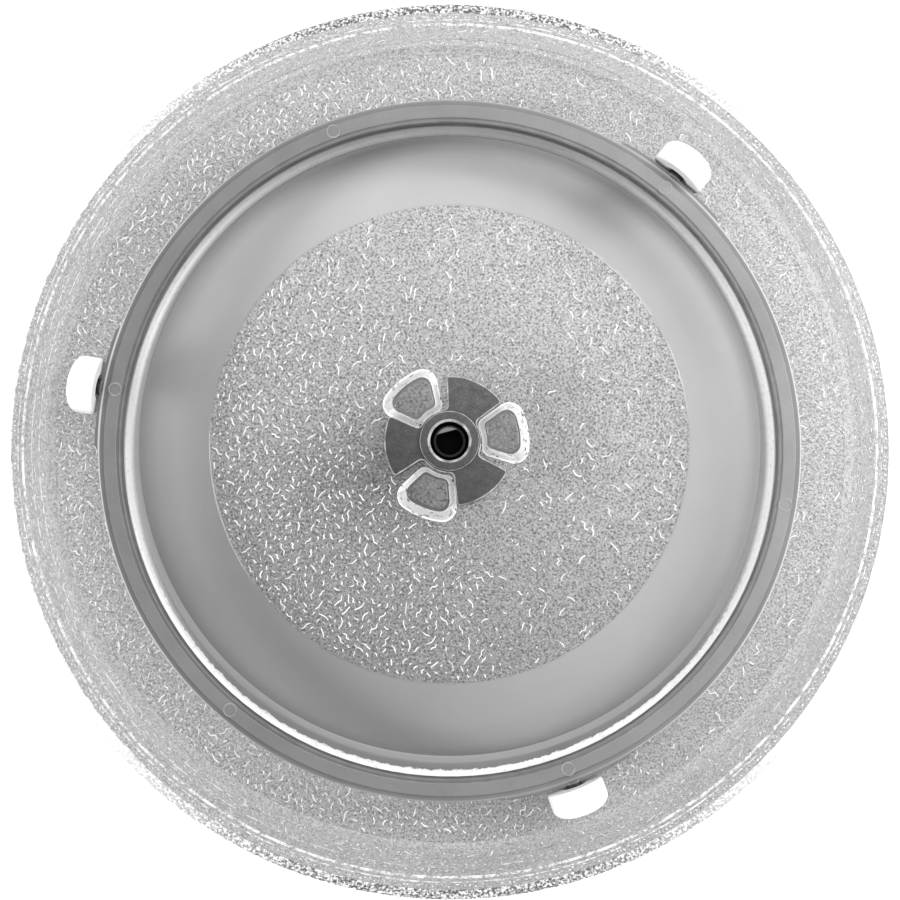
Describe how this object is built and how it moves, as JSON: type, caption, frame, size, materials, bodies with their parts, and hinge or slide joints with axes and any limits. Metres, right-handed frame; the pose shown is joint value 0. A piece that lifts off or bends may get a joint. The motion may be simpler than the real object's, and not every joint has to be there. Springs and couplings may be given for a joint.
{
  "type": "microwave turntable set",
  "caption": "Round pressed-glass turntable plate, lying underside up, with its roller ring on small wheels and a winged drive coupler seated between moulded lugs.",
  "frame": {"origin": "on the axis of rotation, in the plane of the rim edge that the upturned plate lies on", "axes": "+Z along the axis of rotation, out of the plate's underside; the first wheel is 50.2 degrees from +X towards +Y"},
  "size_m": [0.245, 0.245, 0.0292],
  "materials": {
    "clear_glass": "clear pressed glass, stippled underside",
    "ring_plastic": "mid-grey moulded plastic",
    "wheel_plastic": "white moulded plastic",
    "coupler_plastic": "dark grey moulded plastic"
  },
  "bodies": {
    "plate": {"glass_plate": "clear_glass", "drive_coupler": "coupler_plastic"},
    "ring": {"roller_ring": "ring_plastic"},
    "wheel_1": {"roller_wheel_1": "wheel_plastic"},
    "wheel_2": {"roller_wheel_2": "wheel_plastic"},
    "wheel_3": {"roller_wheel_3": "wheel_plastic"}
  },
  "joints": [
    {"name": "ring_spin", "type": "hinge", "parent": "plate", "child": "ring", "pos_m": [0, -0.0015, 0.0217], "axis": [0, 0, 1], "continuous": true},
    {"name": "wheel_1_spin", "type": "hinge", "parent": "ring", "child": "wheel_1", "pos_m": [0.06216, 0.0731, 0.0217], "axis": [0.6401, 0.7683, 0], "continuous": true},
    {"name": "wheel_2_spin", "type": "hinge", "parent": "ring", "child": "wheel_2", "pos_m": [-0.09568, 0.01503, 0.0217], "axis": [-0.9854, 0.1702, 0], "continuous": true},
    {"name": "wheel_3_spin", "type": "hinge", "parent": "ring", "child": "wheel_3", "pos_m": [0.03353, -0.09263, 0.0217], "axis": [0.3453, -0.9385, 0], "continuous": true}
  ],
  "couplings": [
    {"joint": "wheel_1_spin", "follows": "ring_spin", "ratio": -12.773},
    {"joint": "wheel_2_spin", "follows": "ring_spin", "ratio": -12.773},
    {"joint": "wheel_3_spin", "follows": "ring_spin", "ratio": -12.773}
  ]
}
